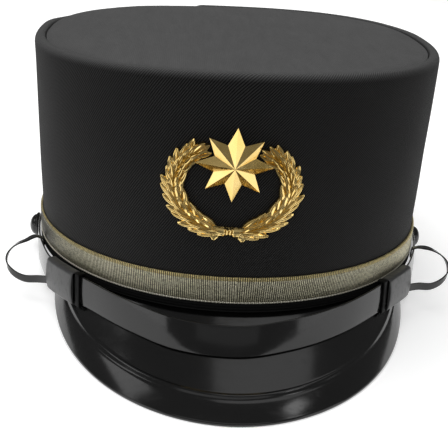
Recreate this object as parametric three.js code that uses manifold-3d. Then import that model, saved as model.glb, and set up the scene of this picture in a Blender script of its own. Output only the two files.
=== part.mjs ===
// A band conductor's cap: a stiff flaring crown of black twill with a flat top, a woven gold braid
// over its hem, a sloping patent peak, a strap from button to button, and a gilt badge in front.
// Millimetres, +Z up. The front is -Y and +X is the wearer's left. The cap stands by itself on z = 0,
// on the lowest edge of its peak and the back of its hem.

import * as THREE from "three";
import { mergeVertices } from "three/addons/utils/BufferGeometryUtils.js";
import Module from "manifold-3d";

const wasm = await Module();
wasm.setup();

// ---- driving dimensions, in the cap's own upright frame: its hem lies near z = 0 ----

const GAP = 0.3; // clearance between pieces that touch

const CROWN = {
  baseHalfWidth: 83.6, // a 57 cm head inside a wall of 2.2
  baseHalfLength: 103.0,
  baseSquareness: 2.0, // 2 is an ellipse, more is squarer
  topHalfWidth: 85.5,
  topHalfLength: 106.2,
  topSquareness: 2.44,
  topForward: 5.0, // the top leans this far to the front
  height: 92.0,
  wall: 2.2,
  sag: 0.6, // the rim's back is this much lower than its front on the wearer's left
  sagBeyondSeam: 2.2, // and on the right of the seam at the back
  seamX: -12, // where that seam is
};
const RIM = { width: 4.4, fall: 1.8, depth: 4.2 }; // the turned edge round the top
const TOP_PANEL = { thickness: 1.8, sink: 1.5, clearance: 0.45 }; // it is flat in a leaning rim
const BRAID = { bottom: 4.3, top: 14.4, thickness: 0.8 };
const BINDING = { bottom: 0.1, top: 4.0, thickness: 1.1 };

const PEAK = {
  cornerAngle: 68, // degrees from the front, along the wall's inner side, which it hangs from
  reach: 38.6, // how far its tip stands out, straight to the front
  drop: 26.5, // and how far it falls
  rootDrop: 1.3, // it starts this far below the wall
  roundness: 1.78,
  fullness: 3.9,
  thickness: 2.0,
  blunt: 0.992, // the share of the corner angle that is built
};

const STRAP = { width: 11.9, thickness: 1.0, endAngle: 96, holeRadius: 2.2 };

// The strap's middle line: degrees from the front, how far it stands out from the hem and its height
// on the wearer's left and right, and how far it leans back from upright.
const STRAP_ROUTE = [
  { deg: 0, outLeft: 14.2, outRight: 14.2, heightLeft: -6.0, heightRight: -6.0, lean: 8 },
  { deg: 12, outLeft: 12.1, outRight: 13.1, heightLeft: -4.8, heightRight: -5.5, lean: 7 },
  { deg: 24, outLeft: 9.2, outRight: 9.7, heightLeft: -3.4, heightRight: -3.7, lean: 3 },
  { deg: 36, outLeft: 6.6, outRight: 7.0, heightLeft: -1.8, heightRight: -2.1, lean: 0 },
  { deg: 46, outLeft: 5.3, outRight: 6.3, heightLeft: -0.8, heightRight: -1.8, lean: 0 },
  { deg: 56, outLeft: 4.8, outRight: 5.5, heightLeft: -1.5, heightRight: -2.4, lean: 0 },
  { deg: 66, outLeft: 3.6, outRight: 3.7, heightLeft: -2.0, heightRight: -2.6, lean: 0 },
  { deg: 78, outLeft: 3.1, outRight: 2.6, heightLeft: -2.1, heightRight: -2.3, lean: 0 },
  { deg: 90, outLeft: 3.3, outRight: 2.4, heightLeft: -1.9, heightRight: -1.9, lean: 0 },
  { deg: 97, outLeft: 3.3, outRight: 2.4, heightLeft: -1.7, heightRight: -1.7, lean: 0 },
];

// The sleeves on the strap: degrees from the front, and whether the chin strap runs outside it there.
const SLIDE = { from: 43.2, to: 55.8, wall: 0.6, clear: 0.3, chinOutside: true };
const KEEPER = { from: 41.2, to: 42.7, wall: 0.6, clear: 0.3, chinOutside: false };

// headroom keeps the button's foot off the cloth
const BUTTON = { angle: 90, radius: 5.6, rim: 1.3, dome: 3.2, shankRadius: 1.7, headroom: 0.3 };

const CHIN = { width: 3.3, thickness: 0.6, behind: 1.1, inSlide: -3.7, inFront: 2.4, leftRise: 0.9 };

// Inside each slide the chin strap comes out through a slit in the front strap.
const SLIT = { from: 46.5, to: 52.5, halfHeight: 2.0, crossFrom: 47.8, crossTo: 51.2 };

// The chin strap's loop on one side, from the slide's rear mouth out and back. turn says how far its
// width has turned from upright to the front, in degrees.
const CHIN_LOOP = [
  { x: 80.4, y: -55.9, z: -6.6, turn: 0 },
  { x: 86.4, y: -53.3, z: -7.5, turn: 6 },
  { x: 91.2, y: -50.9, z: -6.2, turn: 14 },
  { x: 94.0, y: -49.1, z: -3.6, turn: 30 },
  { x: 94.7, y: -47.4, z: -0.7, turn: 55 },
  { x: 93.6, y: -45.6, z: 2.0, turn: 75 },
  { x: 90.9, y: -43.4, z: 4.2, turn: 86 },
  { x: 87.4, y: -41.0, z: 5.2, turn: 90 },
];
// Its end, tucked over the strap's upper edge: how far outside the strap's middle and above its edge.
const CHIN_TUCK = [
  { outside: 2.2, above: 1.5 },
  { outside: 0.3, above: 0.9 },
  { outside: -0.8, above: 0.5 },
  { outside: -1.1, above: -0.8 },
  { outside: -1.1, above: -3.2 },
];
const CHIN_TUCK_ANGLE = 70;

const BADGE = {
  centreX: -3.5,
  centreHeight: 50.5,
  turn: 2, // degrees, clockwise from the front
  off: 0.45, // from the cloth to its back
  plate: 1.2,
  wreathHalfWidth: 20.6,
  wreathHalfHeight: 17.2,
  wreathOpening: 38, // half the gap at the top, in degrees
  starHeight: 8.9, // the star's centre above the badge's
  starLong: 13.9,
  starShort: 13.5,
  starWaist: 7.2,
  starRelief: 3.6,
  starLift: 0.6, // the star lies on the leaves
  postRadius: 1.5, // the hidden post that holds it, through the crown's front
  postLength: 4.4,
  holeRadius: 1.9,
};
const LEAF = { length: 8.6, width: 3.9, height: 2.2, rows: 9, spread: 0.62 }; // spread in radians
const BRANCH = { stations: 15, footHalf: 2.4, tipHalf: 1.2 };
const RIBBON = {
  knot: { width: 4.4, depth: 2.0, height: 5.2 },
  tail: { width: 7.4, depth: 1.4, height: 3.2, aside: 4.6, below: 2.2, slope: 32 },
};

const STEPS_ROUND = 96; // shared by all that rings the crown, so the gaps stay even

// ---- small helpers ----

const rad = THREE.MathUtils.degToRad;
const mix = THREE.MathUtils.lerp;
const list = (count, make) => Array.from({ length: count }, (_, i) => make(i));
const signedPower = (value, power) => Math.sign(value) * Math.abs(value) ** power;
const vec = (x, y, z) => new THREE.Vector3(x, y, z);
const UP = vec(0, 0, 1);
const FRONT = vec(0, -1, 0);

// A smooth value from a short table, mirrored about its first row.
function smooth(rows, key, column, at) {
  const x = Math.min(Math.abs(at), rows[rows.length - 1][key]);
  const last = rows.length - 1;
  const i = Math.min(last - 1, rows.findIndex((row, n) => n < last && x <= rows[n + 1][key]));
  const value = (n) => (n < 0 ? rows[-n][column] : rows[Math.min(n, last)][column]);
  const place = (n) => (n < 0 ? -rows[-n][key] : rows[Math.min(n, last)][key]);
  const slope = (n) => (n >= last ? 0 : (value(n + 1) - value(n - 1)) / (place(n + 1) - place(n - 1)));
  const span = place(i + 1) - place(i);
  const t = (x - place(i)) / span;
  return (
    (2 * t ** 3 - 3 * t ** 2 + 1) * value(i) +
    (t ** 3 - 2 * t ** 2 + t) * span * slope(i) +
    (-2 * t ** 3 + 3 * t ** 2) * value(i + 1) +
    (t ** 3 - t ** 2) * span * slope(i + 1)
  );
}

// A closed solid skinned over rings of matching points. Open runs are capped by strips that join
// each ring's first half to its second half.
function skin(rings, closed = false) {
  const size = rings[0].length;
  const positions = rings.flatMap((ring) => ring.flatMap((p) => [p.x, p.y, p.z]));
  const index = [];
  const quad = (a, b, c, d) => index.push(a, b, c, a, c, d);
  const spans = closed ? rings.length : rings.length - 1;
  for (let r = 0; r < spans; r += 1) {
    const here = r * size;
    const next = ((r + 1) % rings.length) * size;
    for (let i = 0; i < size; i += 1) {
      const j = (i + 1) % size;
      quad(here + i, here + j, next + j, next + i);
    }
  }
  if (!closed) {
    const end = (rings.length - 1) * size;
    for (let i = 0; i < size / 2 - 1; i += 1) {
      quad(i, size - 1 - i, size - 2 - i, i + 1);
      quad(end + i, end + i + 1, end + size - 2 - i, end + size - 1 - i);
    }
  }
  const geometry = new THREE.BufferGeometry();
  geometry.setAttribute("position", new THREE.Float32BufferAttribute(positions, 3));
  geometry.setIndex(index);
  return outward(geometry);
}

// Turns every face round if the solid is inside out.
function outward(geometry) {
  const p = geometry.getAttribute("position");
  const index = geometry.index.array;
  const a = vec(0, 0, 0);
  const b = vec(0, 0, 0);
  const c = vec(0, 0, 0);
  let volume = 0;
  for (let i = 0; i < index.length; i += 3) {
    a.fromBufferAttribute(p, index[i]);
    b.fromBufferAttribute(p, index[i + 1]);
    c.fromBufferAttribute(p, index[i + 2]);
    volume += a.dot(b.cross(c));
  }
  if (volume < 0) {
    for (let i = 0; i < index.length; i += 3) {
      [index[i + 1], index[i + 2]] = [index[i + 2], index[i + 1]];
    }
  }
  return geometry;
}

function toManifold(geometry) {
  const bare = geometry.clone();
  bare.deleteAttribute("normal");
  bare.deleteAttribute("uv");
  const merged = mergeVertices(bare, 1e-4);
  return new wasm.Manifold(
    new wasm.Mesh({
      numProp: 3,
      vertProperties: new Float32Array(merged.getAttribute("position").array),
      triVerts: new Uint32Array(merged.index.array),
    }),
  );
}

function fromManifold(manifold) {
  const mesh = manifold.getMesh();
  const geometry = new THREE.BufferGeometry();
  geometry.setAttribute("position", new THREE.Float32BufferAttribute(mesh.vertProperties, 3));
  geometry.setIndex(Array.from(mesh.triVerts));
  return geometry;
}

// ---- the crown's surface ----

// A point on the crown: degrees from the front, height up the wall, and distance out from it.
function crownPoint(deg, height, out) {
  const share = height / CROWN.height;
  const power = 2 / mix(CROWN.baseSquareness, CROWN.topSquareness, share);
  const s = Math.sin(rad(deg));
  const c = Math.cos(rad(deg));
  return vec(
    (mix(CROWN.baseHalfWidth, CROWN.topHalfWidth, share) + out) * signedPower(s, power),
    -(mix(CROWN.baseHalfLength, CROWN.topHalfLength, share) + out) * signedPower(c, power) -
      CROWN.topForward * share,
    height - rimSag(s, c) * share ** 4,
  );
}

// How far the rim hangs below the plane of its front, which it does only towards the back.
function rimSag(s, c) {
  const across = CROWN.topHalfWidth * s;
  const depth = across > CROWN.seamX ? CROWN.sag : CROWN.sagBeyondSeam;
  return depth * THREE.MathUtils.smoothstep(-c, 0, 0.45);
}

// A ring round the crown whose section is a list of { height, out } corners.
function crownRing(section) {
  return skin(
    list(STEPS_ROUND, (i) => {
      const deg = (360 * i) / STEPS_ROUND;
      return section.map(({ height, out }) => crownPoint(deg, height, out));
    }),
    true,
  );
}

function crownSide() {
  const { height, wall } = CROWN;
  const section = [
    { height: 0, out: 0 },
    { height: height * 0.25, out: 0 },
    { height: height * 0.5, out: 0 },
    { height: height * 0.75, out: 0 },
    { height: height - RIM.fall, out: 0 },
    { height: height - 0.5, out: -0.5 },
    { height, out: -RIM.fall },
    { height, out: -RIM.width + 0.8 },
    { height: height - 0.7, out: -RIM.width },
    { height: height - RIM.depth, out: -RIM.width },
    { height: height - RIM.depth - 2.2, out: -wall },
    { height: height * 0.5, out: -wall },
    { height: 0, out: -wall },
  ];
  const hole = ontoCrown(badgePost(BADGE.holeRadius, 2 * BADGE.postLength));
  return fromManifold(toManifold(crownRing(section)).subtract(toManifold(hole)));
}

function crownTop() {
  const { thickness, sink, clearance } = TOP_PANEL;
  const bottom = CROWN.height - sink - thickness;
  const outline = new THREE.Shape(
    list(STEPS_ROUND, (i) => {
      const p = crownPoint((360 * i) / STEPS_ROUND, bottom + thickness / 2, -RIM.width - clearance);
      return new THREE.Vector2(p.x, p.y);
    }),
  );
  const panel = new THREE.ExtrudeGeometry(outline, { depth: thickness, bevelEnabled: false });
  return panel.translate(0, 0, bottom);
}

// A flat band on the crown, slightly rounded across.
function crownBand({ bottom, top, thickness }) {
  const inner = GAP;
  const outer = GAP + thickness;
  const soft = thickness * 0.35;
  return crownRing([
    { height: bottom, out: inner },
    { height: top, out: inner },
    { height: top, out: outer - soft },
    { height: top - 0.8, out: outer },
    { height: bottom + 0.8, out: outer },
    { height: bottom, out: outer - soft },
  ]);
}

// The level direction square to the hem.
function squareTo(deg) {
  const { baseHalfWidth: a, baseHalfLength: b } = CROWN;
  return vec(Math.sin(rad(deg)) / a, -Math.cos(rad(deg)) / b, 0).normalize();
}

// ---- the peak ----

// A point on the peak's upper face: u runs from corner to corner (-1 to 1), r from hem to edge.
function peakPoint(u, r) {
  const deg = u * PEAK.cornerAngle;
  const length = (1 - Math.abs(u) ** PEAK.roundness) ** (1 / PEAK.fullness) * r;
  return crownPoint(deg, 0, -CROWN.wall)
    .addScaledVector(FRONT, PEAK.reach * length)
    .addScaledVector(UP, -PEAK.drop * length - PEAK.rootDrop);
}

function peak() {
  const stations = 61;
  const shares = [0, 0.25, 0.5, 0.75, 1];
  const rings = list(stations, (i) => {
    const u = PEAK.blunt * Math.sin(rad(mix(-90, 90, i / (stations - 1))));
    const deg = u * PEAK.cornerAngle;
    const along = crownPoint(deg + 0.5, 0, 0).sub(crownPoint(deg - 0.5, 0, 0));
    const slope = vec(0, -PEAK.reach, -PEAK.drop);
    const under = slope.cross(along).normalize().multiplyScalar(PEAK.thickness);
    if (under.z > 0) under.negate();
    const upper = shares.map((r) => peakPoint(u, r));
    const lower = upper.map((p) => p.clone().add(under)).reverse();
    return [...upper, ...lower];
  });
  return skin(rings);
}

// ---- the strap and what rides on it ----

// The strap's own directions at an angle: its middle, its outward side and its upper edge's way.
function strapFrame(deg) {
  const side = deg > 0 ? "Left" : "Right";
  const out = smooth(STRAP_ROUTE, "deg", `out${side}`, deg);
  const lean = rad(smooth(STRAP_ROUTE, "deg", "lean", deg));
  const s = Math.sin(rad(deg));
  const c = Math.cos(rad(deg));
  const { baseHalfWidth: a, baseHalfLength: b } = CROWN;
  const square = squareTo(deg);
  const height = smooth(STRAP_ROUTE, "deg", `height${side}`, deg);
  const middle = vec(a * s, -b * c, height).addScaledVector(square, out);
  const across = UP.clone().multiplyScalar(Math.cos(lean)).addScaledVector(square, -Math.sin(lean));
  const outside = square.clone().multiplyScalar(Math.cos(lean)).addScaledVector(UP, Math.sin(lean));
  return { middle, across, outside };
}

// A point in the strap's frame: this far to its outer side, and this far up across its width.
function onStrap(deg, outside, across) {
  const frame = strapFrame(deg);
  return frame.middle.addScaledVector(frame.outside, outside).addScaledVector(frame.across, across);
}

function frontStrap() {
  const stations = 77;
  const half = STRAP.width / 2;
  const skinHalf = STRAP.thickness / 2;
  const taper = 3; // degrees over which each end is rounded off
  const rings = list(stations, (i) => {
    const deg = mix(-STRAP.endAngle, STRAP.endAngle, i / (stations - 1));
    const fromEnd = Math.min(1, (STRAP.endAngle - Math.abs(deg)) / taper);
    const reach = half * Math.sqrt(1 - 0.75 * (1 - fromEnd) ** 2);
    return [
      onStrap(deg, skinHalf, -reach),
      onStrap(deg, skinHalf, reach),
      onStrap(deg, -skinHalf, reach),
      onStrap(deg, -skinHalf, -reach),
    ];
  });
  const strap = toManifold(skin(rings));
  const cuts = [-1, 1].flatMap((side) => [
    toManifold(studCylinder(side, STRAP.holeRadius, -4, 4)),
    toManifold(slit(side)),
  ]);
  return fromManifold(cuts.reduce((rest, piece) => rest.subtract(piece), strap));
}

function slit(side) {
  const low = CHIN.inSlide - SLIT.halfHeight;
  const high = CHIN.inSlide + SLIT.halfHeight;
  const through = 2 * STRAP.thickness;
  return skin(
    list(5, (i) => {
      const deg = side * mix(SLIT.from, SLIT.to, i / 4);
      const corners = [[through, low], [through, high], [-through, high], [-through, low]];
      return corners.map(([outside, across]) => onStrap(deg, outside, across));
    }),
  );
}

// A flattened sleeve round the strap and the chin strap.
function sleeve(side, { from, to, wall, clear, chinOutside }) {
  const stations = Math.max(3, Math.ceil((to - from) / 1.6) + 1);
  const inner = -(STRAP.thickness / 2 + CHIN.thickness + 2 * clear);
  const outer = chinOutside ? -inner : STRAP.thickness / 2 + clear;
  const half = STRAP.width / 2 + clear;
  const outline = (grow, corner) => [
    { n: inner - grow, w: -half - grow + corner },
    { n: inner - grow + corner, w: -half - grow },
    { n: outer + grow - corner, w: -half - grow },
    { n: outer + grow, w: -half - grow + corner },
    { n: outer + grow, w: half + grow - corner },
    { n: outer + grow - corner, w: half + grow },
    { n: inner - grow + corner, w: half + grow },
    { n: inner - grow, w: half + grow - corner },
  ];
  const outlines = [outline(wall, 0.9), outline(0, 0.25)];
  const size = outlines[0].length;
  const runs = list(stations, (i) => side * mix(from, to, i / (stations - 1)));
  // each corner of the outline is a loop: along the outside of the sleeve and back along its bore
  const rings = list(size, (i) => [
    ...runs.map((deg) => onStrap(deg, outlines[0][i].n, outlines[0][i].w)),
    ...[...runs].reverse().map((deg) => onStrap(deg, outlines[1][i].n, outlines[1][i].w)),
  ]);
  return skin(rings, true);
}

// A cylinder square to the strap at a button, between two distances from its middle.
function studCylinder(side, radius, from, to) {
  const stud = new THREE.CylinderGeometry(radius, radius, to - from, 20);
  return alongStud(stud.translate(0, (from + to) / 2, 0), side);
}

// Turns a geometry made about +Y so that +Y points out through the strap at a button.
function alongStud(geometry, side) {
  const { middle, outside, across } = strapFrame(side * BUTTON.angle);
  const third = new THREE.Vector3().crossVectors(outside, across);
  const turn = new THREE.Matrix4().makeBasis(third, outside, across);
  return geometry.applyMatrix4(turn.setPosition(middle));
}

function button(side) {
  const { radius, rim, dome, shankRadius } = BUTTON;
  const cloth = crownPoint(side * BUTTON.angle, 0, BINDING.thickness + GAP);
  const foot = Math.abs(cloth.x) + BUTTON.headroom - Math.abs(onStrap(side * BUTTON.angle, 0, 0).x);
  const base = STRAP.thickness / 2 + GAP;
  const profile = [
    [0, foot],
    [shankRadius, foot],
    [shankRadius, base],
    [radius - 0.5, base],
    [radius, base + 0.4],
    [radius, base + rim],
    ...list(7, (i) => {
      const a = rad((90 * (i + 1)) / 7);
      return [(radius - 0.3) * Math.cos(a), base + rim + dome * Math.sin(a)];
    }),
  ].map(([x, y]) => new THREE.Vector2(Math.max(0, x), y));
  profile[profile.length - 1].x = 0;
  return alongStud(new THREE.LatheGeometry(profile, 28), side);
}

// The chin strap: from tuck to tuck, looping out at each side and hidden behind the strap between.
function chinStrap() {
  const half = CHIN.width / 2;
  const flat = CHIN.thickness / 2;
  const turned = (turn) => vec(0, -Math.sin(rad(turn)), Math.cos(rad(turn)));
  const behind = (deg) => {
    const toSlide = THREE.MathUtils.smoothstep(Math.abs(deg), 26, SLIDE.from - 3);
    const across = mix(CHIN.inFront, CHIN.inSlide, toSlide);
    const through = THREE.MathUtils.inverseLerp(SLIT.crossFrom, SLIT.crossTo, Math.abs(deg));
    const outside = CHIN.behind * (2 * THREE.MathUtils.clamp(through, 0, 1) - 1);
    return { point: onStrap(deg, outside, across), across: strapFrame(deg).across };
  };
  const sideRun = (side) => [
    ...CHIN_LOOP.map(({ x, y, z, turn }) => ({
      point: vec(side * x, y, z + side * CHIN.leftRise),
      across: turned(turn),
    })),
    ...CHIN_TUCK.map(({ outside, above }) => ({
      point: onStrap(side * CHIN_TUCK_ANGLE, outside, STRAP.width / 2 + above),
      across: squareTo(side * CHIN_TUCK_ANGLE).cross(UP).multiplyScalar(side),
    })),
  ];
  const hidden = list(57, (i) => behind(mix(-SLIDE.to - 0.4, SLIDE.to + 0.4, i / 56)));
  const stops = [...sideRun(-1).reverse(), ...hidden, ...sideRun(1)];
  const route = new THREE.CatmullRomCurve3(stops.map((stop) => stop.point), false, "centripetal");
  const last = stops.length - 1;
  const loopSpans = CHIN_LOOP.length + CHIN_TUCK.length;
  const rings = [];
  for (let n = 0; n <= last; n += 1) {
    const curved = n < loopSpans || n >= last - loopSpans;
    for (let k = 0; k < (n < last && curved ? 3 : 1); k += 1) {
      const share = k / 3;
      const centre = route.getPoint((n + share) / last);
      const along = route.getTangent((n + share) / last);
      const across = stops[n].across.clone().lerp(stops[Math.min(n + 1, last)].across, share);
      across.addScaledVector(along, -across.dot(along)).normalize();
      const outside = new THREE.Vector3().crossVectors(along, across);
      const corner = (o, a) => centre.clone().addScaledVector(outside, o).addScaledVector(across, a);
      rings.push([corner(flat, -half), corner(flat, half), corner(-flat, half), corner(-flat, -half)]);
    }
  }
  return skin(rings);
}

// ---- the badge ----

// Bends a badge that was made flat, with x to the side, z up and y its height off the cloth, onto the
// front of the crown.
function ontoCrown(geometry) {
  const p = geometry.getAttribute("position");
  const turn = rad(-BADGE.turn);
  for (let i = 0; i < p.count; i += 1) {
    const x = BADGE.centreX + p.getX(i) * Math.cos(turn) - p.getZ(i) * Math.sin(turn);
    const height = BADGE.centreHeight + p.getX(i) * Math.sin(turn) + p.getZ(i) * Math.cos(turn);
    const share = height / CROWN.height;
    const power = mix(CROWN.baseSquareness, CROWN.topSquareness, share) / 2;
    const halfWidth = mix(CROWN.baseHalfWidth, CROWN.topHalfWidth, share);
    const deg = THREE.MathUtils.radToDeg(Math.asin(signedPower(x / halfWidth, power)));
    const foot = crownPoint(deg, height, 0);
    const aside = crownPoint(deg + 0.5, height, 0).sub(crownPoint(deg - 0.5, height, 0));
    const above = crownPoint(deg, height + 0.5, 0).sub(crownPoint(deg, height - 0.5, 0));
    const outside = aside.cross(above).normalize();
    foot.addScaledVector(outside, p.getY(i));
    p.setXYZ(i, foot.x, foot.y, foot.z);
  }
  return outward(geometry);
}

// One leaf: a low ridge with a pointed end, lying along an angle in the badge's plane.
function leaf(x, z, angle, length, width, height) {
  const sides = [
    [0, -0.15],
    [0.5, 0.2],
    [0.36, 0.7],
    [0, 1],
    [-0.36, 0.7],
    [-0.5, 0.2],
  ];
  const c = Math.cos(angle);
  const s = Math.sin(angle);
  const at = (across, along, off) =>
    vec(x + c * along * length - s * across * width, off, z + s * along * length + c * across * width);
  const base = sides.map(([across, along]) => at(across, along, BADGE.off));
  const brow = sides.map(([across, along]) => at(across, along, BADGE.off + BADGE.plate * 0.7));
  const top = at(0, 0.42, BADGE.off + height);
  const points = [...base, ...brow, top];
  const size = sides.length;
  const index = [];
  for (let i = 0; i < size; i += 1) {
    const j = (i + 1) % size;
    index.push(i, j, size + j, i, size + j, size + i);
    index.push(size + i, size + j, 2 * size);
    if (i > 0 && j > 0) index.push(0, j, i);
  }
  const geometry = new THREE.BufferGeometry();
  geometry.setAttribute(
    "position",
    new THREE.Float32BufferAttribute(points.flatMap((p) => [p.x, p.y, p.z]), 3),
  );
  geometry.setIndex(index);
  return outward(geometry);
}

// A star of eight points with a ridge down each.
function star() {
  const { starLong, starShort, starWaist, starRelief, starLift, plate, starHeight } = BADGE;
  const off = BADGE.off + starLift;
  const rim = list(16, (i) => {
    const a = rad(90 - (360 * i) / 16);
    const r = i % 2 ? starWaist : i % 4 ? starShort : starLong;
    return [r * Math.cos(a), starHeight + r * Math.sin(a)];
  });
  const base = rim.map(([x, z]) => vec(x, off, z));
  const brow = rim.map(([x, z]) => vec(x, off + plate * 0.6, z));
  const points = [...base, ...brow, vec(0, off, starHeight), vec(0, off + starRelief, starHeight)];
  const index = [];
  for (let i = 0; i < 16; i += 1) {
    const j = (i + 1) % 16;
    index.push(i, j, 16 + j, i, 16 + j, 16 + i);
    index.push(16 + i, 16 + j, 33);
    index.push(j, i, 32);
  }
  const geometry = new THREE.BufferGeometry();
  geometry.setAttribute(
    "position",
    new THREE.Float32BufferAttribute(points.flatMap((p) => [p.x, p.y, p.z]), 3),
  );
  geometry.setIndex(index);
  return outward(geometry);
}

// A curved strip of metal under the leaves, following the wreath from its foot to one tip.
function branch(side) {
  const { stations, footHalf, tipHalf } = BRANCH;
  const { wreathHalfWidth, wreathHalfHeight, wreathOpening, off, plate } = BADGE;
  const rings = list(stations, (i) => {
    const a = rad(mix(-86, 90 - wreathOpening, i / (stations - 1)));
    const half = mix(footHalf, tipHalf, i / (stations - 1));
    const at = (grow, y) =>
      vec(side * (wreathHalfWidth + grow) * Math.cos(a), y, (wreathHalfHeight + grow) * Math.sin(a));
    return [at(-half, off), at(half, off), at(half, off + plate), at(-half, off + plate)];
  });
  return skin(rings);
}

// A plain post from the back of the star, through the cloth. Y is its height off the cloth.
function badgePost(radius, length) {
  const top = BADGE.off + BADGE.starLift + 0.3;
  const post = new THREE.CylinderGeometry(radius, radius, length, 16);
  return post.translate(0, top - length / 2, BADGE.starHeight);
}

function badge() {
  const { wreathHalfWidth, wreathHalfHeight, wreathOpening, off } = BADGE;
  const { rows, spread, length, width, height } = LEAF;
  const parts = [star(), branch(1), branch(-1), badgePost(BADGE.postRadius, BADGE.postLength)];
  for (const side of [1, -1]) {
    for (let i = 0; i < rows; i += 1) {
      const a = rad(mix(-74, 84 - wreathOpening, i / (rows - 1)));
      const x = wreathHalfWidth * Math.cos(a);
      const z = wreathHalfHeight * Math.sin(a);
      const along = Math.atan2(wreathHalfHeight * Math.cos(a), -wreathHalfWidth * Math.sin(a));
      for (const aside of [-spread, spread]) {
        const way = along - aside;
        const angle = side > 0 ? way : Math.PI - way;
        parts.push(leaf(side * x, z, angle, length, width, height));
      }
    }
  }
  // the ribbon that ties the branches, with its two tails
  const { knot, tail } = RIBBON;
  const knotBox = new THREE.BoxGeometry(knot.width, knot.depth, knot.height);
  parts.push(knotBox.translate(0, off + knot.depth / 2, -wreathHalfHeight));
  for (const side of [-1, 1]) {
    const tailBox = new THREE.BoxGeometry(tail.width, tail.depth, tail.height);
    tailBox.rotateY(side * rad(tail.slope));
    tailBox.translate(side * tail.aside, off + tail.depth / 2, -wreathHalfHeight - tail.below);
    parts.push(tailBox);
  }
  const solids = parts.map(toManifold);
  const whole = solids.reduce((sum, part) => sum.add(part));
  return ontoCrown(fromManifold(whole));
}

// ---- the assembly, stood on its own feet ----

const finish = {
  cloth: { color: 0x262629, roughness: 0.85, metalness: 0 },
  clothTop: { color: 0x4a4a4b, roughness: 0.9, metalness: 0 },
  braid: { color: 0x9a9160, roughness: 0.5, metalness: 0.6 },
  patent: { color: 0x141414, roughness: 0.15, metalness: 0 },
  vinyl: { color: 0x1b1b1b, roughness: 0.25, metalness: 0 },
  keeper: { color: 0x101010, roughness: 0.4, metalness: 0 },
  plastic: { color: 0x0d0d0d, roughness: 0.12, metalness: 0 },
  gilt: { color: 0xd0a84e, roughness: 0.25, metalness: 1 },
};

const upright = new THREE.Group();

function add(name, geometry, look) {
  const piece = new THREE.Mesh(geometry, new THREE.MeshStandardMaterial(look));
  piece.name = name;
  upright.add(piece);
}

add("crown_side", crownSide(), finish.cloth);
add("crown_top", crownTop(), finish.clothTop);
add("braid_band", crownBand(BRAID), finish.braid);
add("bottom_binding", crownBand(BINDING), finish.cloth);
add("peak", peak(), finish.patent);
add("front_strap", frontStrap(), finish.vinyl);
for (const [name, side] of [["left", 1], ["right", -1]]) {
  add(`slide_${name}`, sleeve(side, SLIDE), finish.vinyl);
  add(`keeper_${name}`, sleeve(side, KEEPER), finish.keeper);
  add(`button_${name}`, button(side), finish.plastic);
}
add("chin_strap", chinStrap(), finish.vinyl);
add("badge", badge(), finish.gilt);

// The lowest point in front of or behind the middle, once the cap is tipped back by an angle.
function lowest(points, angle, front) {
  const heights = points
    .filter((p) => p.y < 0 === front)
    .map((p) => p.y * Math.sin(angle) + p.z * Math.cos(angle));
  return heights.reduce((low, z) => Math.min(low, z), Infinity);
}

// The angle at which the peak and the back of the hem are equally low, by halving.
function restingAngle() {
  const points = [];
  for (const name of ["crown_side", "bottom_binding", "peak"]) {
    const p = upright.getObjectByName(name).geometry.getAttribute("position");
    for (let i = 0; i < p.count; i += 1) points.push(vec(0, 0, 0).fromBufferAttribute(p, i));
  }
  let steep = rad(-15);
  let flat = 0;
  for (let i = 0; i < 40; i += 1) {
    const middle = (steep + flat) / 2;
    if (lowest(points, middle, true) < lowest(points, middle, false)) flat = middle;
    else steep = middle;
  }
  return (steep + flat) / 2;
}

upright.rotation.x = restingAngle();
const cap = new THREE.Group();
cap.add(upright);
cap.updateMatrixWorld(true);
const box = new THREE.Box3().setFromObject(cap, true);
const centre = box.getCenter(vec(0, 0, 0));
upright.position.set(-centre.x, -centre.y, -box.min.z);
cap.updateMatrixWorld(true);

export default cap;
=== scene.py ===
import math

import bmesh
import bpy
import numpy as np
from mathutils import Matrix, Vector, noise


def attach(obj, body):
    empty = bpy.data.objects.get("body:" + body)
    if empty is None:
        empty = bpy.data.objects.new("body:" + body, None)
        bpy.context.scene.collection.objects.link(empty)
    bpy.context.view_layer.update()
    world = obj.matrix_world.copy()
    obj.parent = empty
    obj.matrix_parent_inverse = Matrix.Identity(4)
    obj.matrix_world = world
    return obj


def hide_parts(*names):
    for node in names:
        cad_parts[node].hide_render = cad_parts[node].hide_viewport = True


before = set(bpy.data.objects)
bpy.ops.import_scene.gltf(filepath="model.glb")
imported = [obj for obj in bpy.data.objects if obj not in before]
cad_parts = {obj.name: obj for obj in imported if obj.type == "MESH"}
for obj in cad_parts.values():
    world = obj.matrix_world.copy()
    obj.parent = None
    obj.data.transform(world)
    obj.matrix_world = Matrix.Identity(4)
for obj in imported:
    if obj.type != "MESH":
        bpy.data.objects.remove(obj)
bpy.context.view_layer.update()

# A band conductor's cap. Shapes are made in millimetres in the cap's own upright frame, where the hem
# lies near z = 0, the front is -Y and the wearer's left is +X, and REST stands them in the row frame.

MM = 0.001
TIP_BACK = math.radians(-6.977)  # the cap rests on its peak and the back of its hem
REST = Matrix.Translation((0, 0.015185, 0.012535)) @ Matrix.Rotation(TIP_BACK, 4, "X") @ Matrix.Scale(MM, 4)
UP = Vector((0, 0, 1))

# ---- sizes shared with the CAD model ----

BASE_HALF = (83.6, 103.0)
TOP_HALF = (85.5, 106.2)
SQUARENESS = (2.0, 2.44)
TOP_FORWARD = 5.0
CROWN_HEIGHT = 92.0
WALL = 2.2
SAG = 0.6
SAG_BEYOND_SEAM = 2.2
SEAM_X = -12.0
RIM_WIDTH = 4.4
RIM_FALL = 1.8
RIM_DEPTH = 4.2
LID_SINK = 0.6  # the lid cloth lies almost level with the rim
TOP_THICKNESS = 1.8
TOP_CLEARANCE = 0.45
GAP = 0.3

STRAP_WIDTH = 11.9
STRAP_THICKNESS = 1.0
STRAP_END = 96.0
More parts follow.
